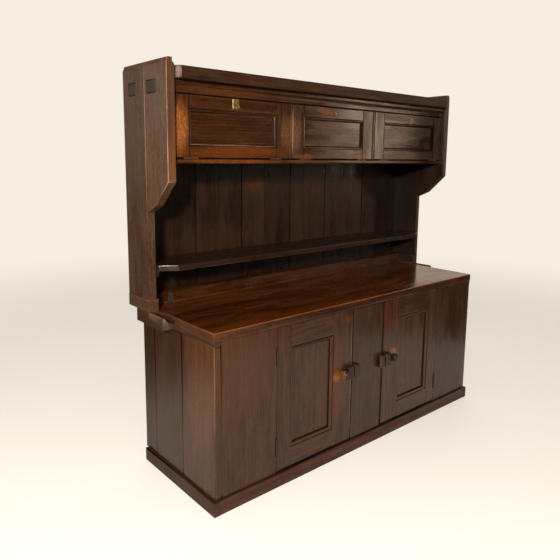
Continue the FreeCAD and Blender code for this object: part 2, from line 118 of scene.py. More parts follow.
def stainedOak(name, stains, rough=0.42, wornShare=0.6, rubsAndPaintedLight=(), coat=0.0, relief=0.35, flecks=0.0,
               clouds=1.0):
    dark, mid, light, worn = stains.split()
    material = bpy.data.materials.new(name)
    add = emptyTree(material)
    grain, wear, tone = (add("Attribute", attribute_name=layer).outputs[output]
                         for layer, output in (("grain", "Vector"), ("wear", "Fac"), ("tone", "Fac")))
    place = add("TexCoord").outputs["Object"]
    noise = {}
    for layer, (long, wide, detail) in oakGrain.items():
        mapped = add("Mapping", {"Vector": grain, "Scale": [1 / (size * mm) for size in (long, wide, wide)]})
        noise[layer] = add("TexNoise", {"Vector": mapped, "Scale": 1.0, "Detail": detail, "Roughness": 0.6,
                                        "Distortion": 0.25})
    pith = add("Mapping", (grain, oak["pith"], oak["lean"], oak["stretch"]))
    rings = {"Vector": pith, "Scale": oak["ringPerGap"] / (oak["ringGap"] * mm), "Distortion": 2.6,
             "Detail": 2.0, "Detail Scale": 1.4}
    noise["ring"] = add("TexWave", rings, wave_type="RINGS", rings_direction="X").outputs["Fac"]
    figure = 0.0
    for layer, share in oak["figure"].items():
        figure = add("Math", (noise[layer], share, figure), **timesPlus)
    wood = add("ValToRGB", (figure,), list(zip(oak["stops"], (dark, light, mid))))
    lift = add("Math", (tone, oak["toneLift"], 1.0), **timesPlus)
    cloud = (noise["cloud"], *oak["cloudEnds"])
    hue = add("MapRange", (*cloud, *(0.5 + shift * clouds for shift in oak["hue"])), **smooth)
    depth = add("MapRange", (*cloud, *(1 + shift * clouds for shift in oak["depth"])), **smooth)
    toned = add("HueSaturation", {"Color": wood, "Value": lift, "Hue": hue, "Saturation": depth})
    pores = add("MapRange", (noise["pore"], *oak["poreEnds"]), **smooth)
    filled = add("Math", (pores, oak["poreShade"], 0.0), **timesPlus)
    colour = add("Mix", {0: filled, 6: toned, 7: stain(dark)}, blend_type="MULTIPLY", **tinted)
    mottle = add("MapRange", (noise["fleck"], *oak["fleckEnds"]), **smooth)
    flecked = add("Math", (mottle, flecks, 0.0), **timesPlus)
    colour = add("Mix", {0: flecked, 6: colour, 7: stain(worn)}, **tinted)
    broad = (noise["broad"], *oak["cloudEnds"])
    gloss = add("MapRange", (*broad, *(rough + spread for spread in oak["gloss"])), **smooth)
    polish = oak["polish"]
    for at, reach, most, tint, ragged, mottled, matte in (rubOrPaintedLight(*rub) for rub in rubsAndPaintedLight):
        away = add("VectorMath", (place, at), operation="SUBTRACT")
        away = add("VectorMath", (away, reach), operation="DIVIDE")
        span = add("VectorMath", (away,), operation="LENGTH")
        for layer, share in oak["ragged"].items():
            span = add("Math", (noise[layer], share * ragged, span), **timesPlus)
        fade = [end - oak["raggedMean"] * ragged for end in oak["rubFade"]]
        patch = add("MapRange", (span, *fade, 0.0, most), **smooth)
        speckle = add("Math", (mottle, mottled, 1 - mottled), **timesPlus)
        patch = add("Math", (speckle, patch, 0.0), **timesPlus)
        colour = add("Mix", {0: patch, 6: colour, 7: tint}, **tinted)
        if matte:  # worn and sooty patches lose the wax's sheen, and so do patches of painted shade
            polish = add("Math", (patch, -oak["polish"] * matte, polish), **timesPlus)
    arris = wear
    for layer, share in oak["arris"].items():
        arris = add("Math", (noise[layer], share, arris), **timesPlus)
    arris = add("MapRange", (arris, *oak["arrisEnds"], 0.0, wornShare), **smooth)
    colour = add("Mix", {0: arris, 6: colour, 7: stain(worn)}, **tinted)
    # negative wear is dirt, and in gaps and slots painted shade; it takes the sheen, a bare arris is rougher
    dirt = add("MapRange", (wear, *oak["dirtEnds"], 0.0, oak["dirtShare"]), **smooth)
    colour = add("Mix", {0: dirt, 6: colour, 7: stain(oak["dirt"])}, **tinted)
    gloss = add("Math", (arris, oak["bareRough"], gloss), **timesPlus)
    gloss = add("Math", (dirt, oak["dirtRough"], gloss), **timesPlus)
    polish = add("Math", (dirt, -oak["polish"], polish), **timesPlus)
    height = add("Math", (noise["streak"], oak["streakHigh"], 0.0), **timesPlus)
    height = add("Math", (pores, oak["poreHigh"], height), **timesPlus)
    bump = add("Bump", {"Height": height, "Strength": relief, "Distance": oak["reliefDeep"]})
    shader = add("BsdfPrincipled", {
        "Base Color": colour, "Roughness": gloss, "Specular IOR Level": polish, "IOR": oak["ior"],
        "Coat Weight": coat, "Coat Roughness": oak["coatRough"], "Normal": bump})
    add("OutputMaterial", (shader,))
    return material


def rubOrPaintedLight(at, reach, share, colour, ragged=1.0, mottled=0.5, matte=0.0):
    # a place that has lost or taken colour, or a patch of painted shade or painted highlight: its middle and
    # reach in mm, how much of the colour it takes, how far grain frays its edge and flecks break it up, how
    # much sheen it loses
    return drawn(*at), Vector(reach) * mm, share, stain(colour), ragged, mottled, matte


# carcass: brown with a soft grey sheen, orange round the knobs; a painted highlight on the left door's
# meeting arris and a painted shadow line under the top
handRubsAndPaintedLight = [
    ((-226, 13, 436), (38, 14, 42), 0.95, "#b4641f", 0.3),  # beside the knobs
    ((215, 13, 459), (42, 14, 38), 0.8, "#9a5c36", 0.4),
    ((-150, 13, 712), (34, 14, 24), 0.35, "#7a4a2c"),  # head of the left meeting stile
    ((-860, 13, 640), (330, 14, 330), 0.5, "#5c3520", 0.35),  # left fixed board
    ((-952, 120, 560), (60, 170, 480), 0.55, "#70432a", 0.4),  # left end
    ((-225, 13, 360), (70, 14, 330), 0.55, "#693818", 0.6),  # both meeting stiles
    ((150, 13, 680), (60, 14, 150), 0.4, "#6a3216", 0.6),
    ((-934, 13, 400), (16, 8, 480), 0.5, "#2a1d17", 0.2),  # corner: dark joint, pale arris
    ((-952, 13, 600), (4, 4, 330), 0.5, "#9a6c48", 0.2),
    ((-124, 13, 430), (3, 6, 420), 0.6, "#a08a74", 0.1, 0.4),  # painted highlight, left door's meeting arris
    ((0, 13, 761), (960, 30, 4), 0.95, "#0c0705", 0.1, 0.0)]  # shadow line under the top
carcassOak = stainedOak("fumed_oak_waxed", "#301b0e #422715 #52311c #8f6443", 0.22, rubsAndPaintedLight=handRubsAndPaintedLight,
                        coat=0.1, relief=0.16, clouds=0.55)

# plinth: reddish brown and dull, with black painted shadow lines where the boards and doors meet it
plinthPaintedShadows = [((0, 13, 64), (1300, 6, 8), 0.95, "#0a0604", 0.1, 0.0)]
# the gaps under the doors are painted black: a painted shadow
plinthPaintedShadows += [((x, 22, 64), (275, 20, 20), 1.0, "#050302", 0.1, 0.0) for x in (-368, 368)]
plinthOak = stainedOak("fumed_oak_plinth", "#30160b #401f10 #4e2a18 #6a4230", 0.52, rubsAndPaintedLight=plinthPaintedShadows)

# niche: dark boards, one with an orange patch; their stain is darker than the carcass's, partly painted
# shade, and black patches below the shelf and at the upper right are painted shadow
nicheRubsAndShade = [
    # painted shadow below the shelf
    ((0, 630, 925), (1500, 16, 92), 0.92, "#080403", 0.1, 0.0),
    ((-272, 630, 1372), (84, 16, 66), 0.6, "#5e3014"),
    ((-560, 630, 1080), (380, 16, 150), 0.4, "#4a3222"),
    # painted shade at the upper right, which also dulls the sheen
    ((860, 640, 1330), (330, 40, 420), 0.6, "#100907", 0.3, 0.2, 0.8)]
nicheOak = stainedOak("fumed_oak_niche", "#20120a #2b190f #362015 #66452c", 0.3, 0.5, nicheRubsAndShade)

# worktop: polished to a warm red-brown glow, its edges darker
topRubs = [
    ((-955, 317, 781), (7, 420, 70), 0.95, "#5a3a26", 0.15),
    ((0, 10, 781), (1300, 5, 60), 0.95, "#20150e", 0.15),
    ((-250, 30, 800), (850, 75, 12), 0.55, "#7a3a08", 0.5)]
topOak = stainedOak("fumed_oak_polished", "#301204 #54270b #7a4116 #946638", 0.19, 0.5, topRubs,
                    coat=0.2, relief=0.04, clouds=0.3)

# hutch ends: greyer brown with pale flecks, pale arrises and a pale line where two boards meet; the right
# end's inside is in painted shade
sideRubsAndShade = [
    ((960, 450, 1350), (30, 900, 1800), 0.92, "#0f0906", 0.2, 0.1),  # right end, in the shade
    ((-988, 258, 1560), (70, 14, 800), 0.8, "#52301b", 0.4, 0.8),  # front of the left wing board
    ((-988, 258, 1450), (60, 14, 260), 0.5, "#8a4a20", 0.6, 0.7),
    ((-1007, 451, 1600), (9, 3.4, 400), 0.75, "#b8937a", 0.15, 0.3)]  # joint of the left end
hutchOak = stainedOak("fumed_oak_hutch", "#3e281c #523524 #64432f #c8a68c", 0.36, 0.8, sideRubsAndShade,
                      flecks=0.06)

# flaps: glossy, worn through to orange at the left and below; the right flap is in painted shade
flapRubsAndShade = [
    ((-942, 283, 1632), (64, 30, 142), 0.8, "#b9703c", 0.5, 0.55),  # left flap's stile and foot
    ((-640, 283, 1524), (420, 30, 40), 0.65, "#7a3c0e", 0.8),
    ((-640, 283, 1486), (430, 20, 15), 0.7, "#8a4a1e", 0.5),  # cabinet floor below it
    ((-720, 283, 1786), (330, 30, 40), 0.45, "#70401e", 0.6),  # frieze above it
    ((-312, 283, 1622), (92, 12, 120), 0.6, "#8a6044", 0.5, 0.6),  # stiles beside the left divider
    ((655, 283, 1728), (26, 12, 24), 0.75, "#8a5c3c", 0.3, 0.4),  # round the right keyhole
    ((-300, 283, 1632), (6, 8, 155), 0.95, "#c8a890", 0.1, 0.2),  # left arrises of two flaps
    ((324, 283, 1632), (6, 8, 152), 0.7, "#b89880", 0.1, 0.3),
    ((-70, 283, 1738), (80, 30, 26), 0.55, "#8a4d26"),  # rails of the centre flap
    ((-230, 283, 1508), (80, 30, 20), 0.6, "#8a4d26"),
    ((240, 283, 1510), (80, 30, 20), 0.5, "#8a4d26"),
    ((-228, 283, 1712), (44, 30, 60), 0.6, "#1c110a", 0.5),  # its dark upper left corner
    ((840, 283, 1640), (240, 40, 260), 0.8, "#140b08", 0.3, 0.1, 0.9)]  # right flap, painted shade
flapOak = stainedOak("fumed_oak_rubbed", "#2e190b #3e220f #4e2d17 #b89880", 0.13, 0.65, flapRubsAndShade,
                     relief=0.08, clouds=0.4)

# the rest: orange-brown sill, matt hewn bearers, dark bolts with tan knobs, dark cornice with a painted
# highlight on its canted end, dry grey-brown inside, grey-black end grain
sillOak = stainedOak("fumed_oak_sill", "#2e1405 #401e09 #522a0f #7c481c", 0.3)
bearerOak = stainedOak("fumed_oak_hewn", "#301b0e #422715 #52311c #8f6443", 0.5)
boltOak = stainedOak("fumed_oak_handled", "#22120c #301c13 #402519 #b4824e", 0.42, 0.7, coat=0.05)
# a pale patch on the canted left end: painted highlight
corniceCantHighlight = [((-962, 243, 1846), (14, 16, 90), 0.85, "#7a604c", 0.2)]
corniceOak = stainedOak("fumed_oak_cornice", "#2a1609 #391e0c #482914 #b89880", 0.33, 0.65, corniceCantHighlight)
innerOak = stainedOak("oak_inside_dry", "#241a13 #35271c #473526 #5c4632", 0.62, 0.3)
endOak = stainedOak("oak_end_grain_black", "#2a241e #3c352c #4c443a #6a5a48", 0.6)


# Brass gone dull: yellow-brown, brighter on the high spots. Iron: black-brown, oiled, slightly pitted.
oldLook = dict(stops=(0.38, 0.62), cloudEnds=(0.3, 0.7), dull=(0.12, -0.08), pitting=0.2, pitDeep=0.3 * mm)


def oldMetal(name, dark, light, speck, rough, bare):
    material = bpy.data.materials.new(name)
    add = emptyTree(material)
    place = add("TexCoord").outputs["Object"]
    cloud = add("TexNoise", {"Vector": place, "Scale": 1 / (speck * mm), "Detail": 4.0})
    tint = add("ValToRGB", (cloud,), list(zip(oldLook["stops"], (dark, light))))
    dull = add("MapRange", (cloud, *oldLook["cloudEnds"], *(rough + spread for spread in oldLook["dull"])))
    bump = add("Bump", {"Height": cloud, "Strength": oldLook["pitting"], "Distance": oldLook["pitDeep"]})
    shader = add("BsdfPrincipled", {"Base Color": tint, "Metallic": bare, "Roughness": dull, "Normal": bump})
    add("OutputMaterial", (shader,))
    return material


agedBrass = oldMetal("brass_aged", "#7f6138", "#d0b27c", 3, 0.36, 0.8)
blackIron = oldMetal("iron_oiled", "#241b16", "#4a3a30", 5, 0.45, 0.5)
brownIron = oldMetal("iron_brown_patina", "#44280f", "#6c421f", 6, 0.5, 0.2)
rubbedIron = oldMetal("iron_rubbed_grey", "#2c231c", "#4c4036", 6, 0.45, 0.25)
print("materials made")


def startPiece():
    bm = bmesh.new()
    bm.verts.layers.float_vector.new("grain")
    bm.verts.layers.float.new("wear")
    bm.verts.layers.float.new("tone")
    return bm


def freshIn(bm, before):
    return [v for v in bm.verts if v not in before]


def once(items):
    return list(dict.fromkeys(items))


def only(geom, kind):
    return [item for item in geom if isinstance(item, getattr(bmesh.types, kind))]


def boxOf(verts):
    return [Vector([end(v.co[axis] for v in verts) for axis in range(3)]) for end in (min, max)]


def facesOf(verts):
    return once(f for v in verts for f in v.link_faces)


def edgesOf(verts):
    return once(e for v in verts for e in v.link_edges)


def giveGrain(bm, verts, grain, wearOf, tone=None):
    # each board has its own stretch of grain and its own tone
    grainLayer = bm.verts.layers.float_vector["grain"]
    wearLayer, toneLayer = (bm.verts.layers.float[layer] for layer in ("wear", "tone"))
    low, high = boxOf(verts)
    start = Vector((lot.uniform(-4, 4), lot.uniform(-0.1, 0.1), lot.uniform(-0.1, 0.1)))
    drawnTone = lot.uniform(-1, 1)
    for vert in verts:
        here = vert.co - (low + high) / 2
        vert[grainLayer] = Vector((here[grain], here[(grain + 1) % 3], here[(grain + 2) % 3])) + start
        vert[wearLayer] = wearOf(vert)
        vert[toneLayer] = drawnTone if tone is None else tone


arrisRim = dict(leastFace=3.5, share=0.3, fold=12)  # narrower faces are bevel strips and have no rim


def dressBoard(bm, verts, grain=None, rub=6, worn=0.45, tone=None):
    # insets a rim along every face for the wear of its arrises, or for dirt and painted shade given as
    # negative wear; worn is an amount or a rule for a drawn place
    low, high = boxOf(verts)
    size = high - low
    if grain is None:
        grain = max(range(3), key=lambda axis: size[axis])
    verts = list(verts)
    for face in facesOf(verts):
        wide = face.calc_area() / max(e.calc_length() for e in face.edges)
        if wide > arrisRim["leastFace"] * mm:
            rim = min(rub * mm, arrisRim["share"] * wide)
            bmesh.ops.inset_individual(bm, faces=[face], thickness=rim, use_even_offset=True)
            verts.extend(face.verts)

    def arris(vert):
        if not any(e.calc_face_angle(0) > radians(arrisRim["fold"]) for e in vert.link_edges):
            return 0.0
        return worn(*drawnOf(vert)) if callable(worn) else worn

    giveGrain(bm, once(verts), grain, arris, tone)


def easeEdges(bm, edges, wide, steps=2):
    bmesh.ops.bevel(bm, geom=edges, offset=wide * mm, segments=steps, profile=0.5, affect="EDGES",
                    material=-1)


def easeSharp(bm, verts, edge, least=25):
    folded = [e for e in edgesOf(verts) if e.calc_face_angle(0) > radians(least)]
    easeEdges(bm, folded, edge)


def cubeOf(bm, x, y, z):
    low, high = drawn(x[0], y[0], z[0]), drawn(x[1], y[1], z[1])
    shape = Matrix.Translation((low + high) / 2) @ Matrix.Diagonal((*(high - low), 1))
    return bmesh.ops.create_cube(bm, size=1.0, matrix=shape)["verts"]


def finishBoard(bm, before, edge=1.6, notches=(), holes=(), **dressing):
    easeSharp(bm, freshIn(bm, before), edge)
    for notch in notches:
        hollowArris(bm, freshIn(bm, before), **notch)
    dressBoard(bm, freshIn(bm, before), **dressing)
    for hole in holes:
        sinkHole(bm, freshIn(bm, before), **hole)


def addBoard(bm, x, y, z, **finish):
    before = set(bm.verts)
    cubeOf(bm, x, y, z)
    finishBoard(bm, before, **finish)


def addPrism(bm, outline, push, cuts=(), **finish):
    # pushes an outline of drawn points along one vector, trims it by planes, then eases its arrises
    before = set(bm.verts)
    face = bm.faces.new([bm.verts.new(drawn(*point)) for point in outline])
    made = bmesh.ops.extrude_face_region(bm, geom=[face])
    moved = only(made["geom"], "BMVert")
    bmesh.ops.translate(bm, verts=moved, vec=Vector(push) * mm)
    for spot, away in cuts:
        fresh = freshIn(bm, before)
        whole = fresh + edgesOf(fresh) + facesOf(fresh)
        cut = bmesh.ops.bisect_plane(bm, geom=whole, plane_co=drawn(*spot), plane_no=away, clear_outer=True)
        bmesh.ops.edgeloop_fill(bm, edges=only(cut["geom_cut"], "BMEdge"))
    bmesh.ops.recalc_face_normals(bm, faces=facesOf(freshIn(bm, before)))
    finishBoard(bm, before, **finish)


def sliceAlong(bm, faces, axis, places):
    # cuts a few faces across, and leaves their wide neighbours whole
    across = Vector((0, 0, 0))
    across[axis] = 1
    for place in places:
        corners = once(v for f in faces for v in f.verts)
        rims = once(e for f in faces for e in f.edges)
        geom = corners + rims + faces
        made = bmesh.ops.bisect_plane(bm, geom=geom, plane_co=across * place, plane_no=across)
        faces = once(only(made["geom"], "BMFace"))
    return faces


def hollowArris(bm, verts, along, span, corner, deep=5.0):
    # a stretch of one arris is cut back so that a hinge's knuckle can lie in it
    low, high = (drawnAt(along, place) for place in span)
    ramp, flush, bevelReach = 0.3 * mm, 0.05 * mm, 4 * mm

    def inside(vert):
        return [sign * (vert.co[axis] - drawnAt(axis, place)) for axis, place, sign in corner]

    strip = [f for f in facesOf(verts) if all(sum(inside(v)) < bevelReach for v in f.verts)]
    strip = sliceAlong(bm, strip, along, (low, low + ramp, high - ramp, high))
    for vert in once(v for f in strip for v in f.verts):
        if low + 0.7 * ramp < vert.co[along] < high - 0.7 * ramp:
            reach = inside(vert)
            for k, (axis, place, sign) in enumerate(corner):
                target = 0.5 * deep * mm
                if min(reach) < flush:
                    target = 0.0 if reach[k] < flush else deep * mm
                vert.co[axis] += sign * (target - reach[k])


def sinkHole(bm, verts, axis, sign, spans, deep):
    # a square hole in the board's face that looks along one axis
    face = max((f for f in facesOf(verts) if f.normal[axis] * sign > 0.9), key=lambda f: f.calc_area())
    ends = [(across, [drawnAt(across, place) for place in span]) for across, span in spans]
    parts = [face]
    for across, span in ends:
        parts = sliceAlong(bm, parts, across, span)
    inside = [f for f in parts if all(low < f.calc_center_median()[a] < high for a, (low, high) in ends)]
    made = bmesh.ops.extrude_face_region(bm, geom=inside)
    depth = Vector((0, 0, 0))
    depth[axis] = -sign * deep * mm
    bmesh.ops.translate(bm, verts=only(made["geom"], "BMVert"), vec=depth)
    bmesh.ops.delete(bm, geom=inside, context="FACES")


def meshOf(name, bm):
    mesh = bpy.data.meshes.new(name)
    bm.to_mesh(mesh)
    bm.free()
    return mesh


def putIn(name, data):
    item = bpy.data.objects.new(name, data)
    scene.collection.objects.link(item)
    return item


def makePiece(bm, material, *nodes, name=None, slot="stained_oak", crease=38):
    first, *rest = nodes[0].split("_")
    name = name or first + "".join(word.title() for word in rest)  # left_door_frame gives leftDoorFrame
    mesh = meshOf(name, bm)
    mesh.shade_smooth()
    mesh.set_sharp_from_angle(angle=radians(crease))
    mesh.materials.append(material)
    piece = putIn(name, mesh)
    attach(piece, bodyOf[nodes[0]])
    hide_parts(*nodes)


def boardPiece(material, node, boards, name=None, slot="stained_oak", crease=38, **finish):
    # a piece of square boards, each given by its spans in x, y and z
    bm = startPiece()
    for spans in boards:
        addBoard(bm, *spans, **finish)
    makePiece(bm, material, node, name=name, slot=slot, crease=crease)


def slabPiece(material, node, slab, side=1, **finish):
    # a piece of one level board with a cut plan
    bm = startPiece()
    addPrism(bm, [(side * x, y, slab["z"]) for x, y in slab["plan"]], (0, 0, slab["tall"]), **finish)
    makePiece(bm, material, node)


def mirrorSpan(span, side):  # side -1 is the left as drawn, +1 its mirror image
    return span if side < 0 else (-span[1], -span[0])


def bothSides(*boards):
    return [(mirrorSpan(x, side), y, z) for side, name in sides for x, y, z in boards]


# Plinth: end boards run through, front and back sit between them.
plinth = dict(half=965, inner=930, deep=612, high=64, front=(1.5, 45), back=(565.5, 610.5))
plinthZ = (0, plinth["high"])


def plinthWearAndShade(x, y, z):  # the top is painted black where the boards stand, a painted shadow on the ledge
    return -1.0 if z > plinth["high"] - 4 and y > 5 else 0.45


boardPiece(plinthOak, "plinth_ends",
           bothSides(((-plinth["half"], -plinth["inner"]), (0, plinth["deep"]), plinthZ)),
           edge=3, worn=plinthWearAndShade, tone=-0.2)
for end in ("front", "back"):
    boardPiece(plinthOak, "plinth_" + end, [((-plinth["inner"], plinth["inner"]), plinth[end], plinthZ)],
               edge=2, rub=20, worn=plinthWearAndShade, tone=0.1)

# Base: three upright boards in each end, nine in the back, top, bottom, partition, shelves.
# the end boards' tones grow darker from front to rear, a painted shade for the sheen fading there
base = dict(
    half=952, inner=917, joints=(13, 270, 515, 624), openJoint=0.8, z=(64, 740), tones=(0.8, -0.6, -2.0),
    rubbedFrom=400, top=((-955, 955), (10, 624), (762, 800)), backBoards=9, backY=(606, 624), backZ=(64, 762))


def sideWearAndShade(x, y, z):  # the left front arris is rubbed; the head is painted black, a painted shadow under the top
    if x < 4 - base["half"] and y < base["joints"][0] + 4:
        return 0.95 if z > base["rubbedFrom"] else 0.25
    return -0.9 if z > base["z"][1] - 4 else 0.1


def topWear(x, y, z):  # the top front arris is rubbed, the other top arrises are dirty
    if z < base["top"][2][1] - 4:
        return 0.0
    return 1.0 if y < base["top"][1][0] + 6 else -0.4


for side, name in sides:
    bm = startPiece()
    for k, tone in enumerate(base["tones"]):
        y = (base["joints"][k] + (base["openJoint"] if k else 0), base["joints"][k + 1] - base["openJoint"])
        addBoard(bm, mirrorSpan((-base["half"], -base["inner"]), side), y, base["z"], edge=1.8, tone=tone,
                 worn=sideWearAndShade)
    makePiece(bm, carcassOak, name + "_side_boards")
boardPiece(topOak, "base_top", [base["top"]], name="worktop", slot="polished_oak", edge=2.0, worn=topWear,
           rub=4)
pitch = 2 * base["inner"] / base["backBoards"]
starts = [-base["inner"] + k * pitch for k in range(base["backBoards"] + 1)]
boardPiece(innerOak, "base_back_boards",
           [(x, base["backY"], base["backZ"]) for x in zip(starts[:-1], starts[1:])], edge=2)
fittings = dict(
    floor=((-917, 917), (38, 606), (64, 88)), rail=((-917, 917), (38, 62), (722, 762)),
    wall=((-12, 12), (62, 606), (88, 762)), post=((-12, 12), (37, 62), (88, 722)),
    shelf=((-917, -12), (62, 606), (400, 422)), endCleat=((-917, -897), (62, 606), (375, 400)),
    wallCleat=((-32, -12), (62, 606), (375, 400)), hutchCleat=((-968.5, -954.5), (450, 630), (961, 991)))
# the rims of the boards inside the base are painted black: painted shade where they show through gaps
insideShade = dict(rub=30, worn=-1.0)
boardPiece(innerOak, "base_bottom", [fittings["floor"]], name="baseFloor", **insideShade)
boardPiece(innerOak, "head_rail", [fittings["rail"]], **insideShade)
bm = startPiece()
addBoard(bm, *fittings["wall"], **insideShade)
addBoard(bm, *fittings["post"])
makePiece(bm, innerOak, "base_partition")
boardPiece(innerOak, "base_shelves", bothSides(fittings["shelf"]))
cleats = [fittings[k] for k in ("endCleat", "wallCleat", "hutchCleat")]
boardPiece(nicheOak, "shelf_cleats", bothSides(*cleats))

# Front: fixed boards and the centre stile.
# the right fixed board's lower tone is a painted shade for the light falling off to the right
front = dict(
    y=(13, 37), z=(64, 762), fixed=(-916.2, -617), stile=(-120, 117.5), tones=dict(left=-0.2, right=-1.6),
    hingeZ=(193, 625), hingeHalf=43.2)


def hingeNotches(edge, into):  # where the knuckles of two butt hinges lie in an upright arris
    return [{"along": 2, "span": (z - front["hingeHalf"], z + front["hingeHalf"]),
             "corner": ((0, edge, into), (1, front["y"][0], 1))} for z in front["hingeZ"]]


for side, name in sides:
    x = mirrorSpan(front["fixed"], side)
    boardPiece(carcassOak, name + "_front_board", [(x, front["y"], front["z"])],
               notches=hingeNotches(-side * front["fixed"][1], side), worn=0.15, tone=front["tones"][name])
# its arrises are painted black, a painted shadow in the gaps beside the doors
boardPiece(carcassOak, "centre_stile", [(front["stile"], front["y"], front["z"])], worn=-1.0, tone=-0.8)
print("base made")


def addFrame(bm, plan, x, stiles, crestWear, extras, tones, soot):
    # two stiles, two rails, and four mitred strips of ovolo bead round the opening; soot and painted shade
    # dull
    # each strip: bottom, top, right, left
    y, z, rails, bead, recess = (plan[key] for key in ("y", "z", "rails", "bead", "recess"))
    openX = (x[0] + stiles[0], x[1] - stiles[1])
    openZ = (z[0] + rails[0], z[1] - rails[1])
    members = [((x[0], openX[0]), z), ((openX[1], x[1]), z), (openX, (z[0], openZ[0])),
               (openX, (openZ[1], z[1]))]
    for k, (memberX, memberZ) in enumerate(members):  # left stile, right stile, bottom rail, top rail
        finish = {"edge": 0.6, "worn": 0.15, "tone": tones[k], **extras.get(k, {})}
        addBoard(bm, memberX, y, memberZ, **finish)
    quirk, steps = 2.0, 6  # fillet, sunk quirk and quarter round, in shares of the bead's width
    profile = [(0, 2.2 * quirk), (0.13 * bead, 2.2 * quirk), (0.2 * bead, quirk)]
    for k in range(steps + 1):
        turn = pi / 2 * k / steps
        profile.append((bead * (0.3 + 0.7 * sin(turn)), quirk + (recess - quirk) * (1 - cos(turn))))
    profile.append((0, recess))
    runs = [((openX[0], openZ[0]), (1, 0), (0, 1)), ((openX[1], openZ[1]), (-1, 0), (0, -1)),
            ((openX[1], openZ[0]), (0, 1), (-1, 0)), ((openX[0], openZ[1]), (0, -1), (1, 0))]
    for (corner, along, inward), dull in zip(runs, soot):
        length = (openX[1] - openX[0]) if along[0] else (openZ[1] - openZ[0])
        before = set(bm.verts)

        def insetOf(vert):
            return (vert.co.x / mm - corner[0]) * inward[0] + (vert.co.z / mm - corner[1]) * inward[1]

        def beadWearAndShade(vert):  # painted shadow in the quirk and along the panel, a rubbed crest
            share = insetOf(vert) / bead
            if share < 0.15 or share > 0.9:
                return -1.0
            return crestWear + 2 * dull if share < 0.35 else dull

        start = [bm.verts.new(drawn(corner[0] + inset * (along[0] + inward[0]), y[0] + deep,
                                    corner[1] + inset * (along[1] + inward[1]))) for inset, deep in profile]
        bmesh.ops.extrude_face_region(bm, geom=[bm.faces.new(start)])
        fresh = freshIn(bm, before)
        for vert in set(fresh) - set(start):
            vert.co += Vector((along[0], 0, along[1])) * (length - 2 * insetOf(vert)) * mm
        bmesh.ops.recalc_face_normals(bm, faces=facesOf(fresh))
        giveGrain(bm, fresh, 0 if along[0] else 2, beadWearAndShade, 0.2)
    return openX, openZ


# Doors: wide meeting stiles, sunk flat panels. The right door has shrunk off the centre stile.
door = dict(
    x=(-614.5, -121.5), shrunkTo=125, z=(74, 760), y=(13, 37), stiles=(80, 132), rails=(91, 105), bead=21,
    # the bead strips' dark, dull coat: soot, and painted shade where no highlight should show
    recess=14, panel=(27, 33), soot=(0, -0.4, 0, -0.2),
    tones=dict(left=(-0.3, 0.2, -0.3, -0.2), right=(0.5, -0.2, -0.3, -0.2)))
# meeting stiles: the right door's edge by the gap is painted black, a painted shadow
meeting = dict(rub=4, worn=lambda x, y, z: -0.9 if 0 < x < door["shrunkTo"] + 5 else 0.3)
for side, name in sides:
    hung = {"notches": hingeNotches(-side * door["x"][0], -side)}
    x, stiles, extras = door["x"], door["stiles"], {0: hung, 1: meeting}
    if name == "right":
        x, stiles, extras = (door["shrunkTo"], -x[0]), stiles[::-1], {0: meeting, 1: hung}
    bm = startPiece()
    openX, openZ = addFrame(bm, door, x, stiles, 0.3, extras, door["tones"][name], door["soot"])
    makePiece(bm, carcassOak, name + "_door_frame")
    boardPiece(carcassOak, name + "_door_panel", [(openX, door["panel"], openZ)], crease=15, edge=0.8,
               grain=2, tone=0.1)

# Sliding bolts: a bar with an eight-sided knob in a mortised guide, and a keeper on the stile. The left knob
# is the one in use, worn pale and with a painted highlight. A knob's ends are turned in steps, each with its
# inset and its rise.
bolt = dict(
    guide=(-167, -129), keeper=(-118, -83), blockY=(-14, 13), blockZ=(408, 474), blockEase=4.2,
    slotY=(-8.5, 5.5), slotZ=(426.5, 455.5), bar=(-205, -122), barY=(-8, 5), barZ=(427, 455),
    knob=(-212, -184), knobY=-8, knobZ=441, radius=20.5, knobEase=7,
    turned=((2, 0), (1.2, -1.4), (1.6, 0), (1.2, 2.2)), knobWear=dict(left=1.3, right=0.3),
    knobTone=dict(left=1.4, right=-0.8))


def addBlock(bm, x):
    # a block with a slot right through it along X
    before = set(bm.verts)
    ends = [f for f in facesOf(cubeOf(bm, x, bolt["blockY"], bolt["blockZ"])) if abs(f.normal.x) > 0.9]
    outer = edgesOf(freshIn(bm, before))
    bmesh.ops.inset_individual(bm, faces=ends, thickness=3 * mm)  # these corners then move to the slot's
    low, high = (drawn(0, bolt["slotY"][k], bolt["slotZ"][k]) for k in (0, 1))
    for face in ends:
        middle = face.calc_center_median()
        for vert in face.verts:
            vert.co.y = low.y if vert.co.y < middle.y else high.y
            vert.co.z = low.z if vert.co.z < middle.z else high.z
    rims = [e for f in ends for e in f.edges]
    bmesh.ops.delete(bm, geom=ends, context="FACES_ONLY")
    bmesh.ops.bridge_loops(bm, edges=rims)
    easeEdges(bm, outer, bolt["blockEase"], 3)

    def blockWearAndShade(placeX, placeY, placeZ):  # both ends are painted black, a painted shadow in the gaps; the front arrises rubbed
        sunk = min(abs(placeX - end) for end in x) < 2 and placeY > bolt["blockY"][0] + 6
        return -0.9 if sunk else 0.55

    dressBoard(bm, freshIn(bm, before), grain=2, worn=blockWearAndShade, rub=4)


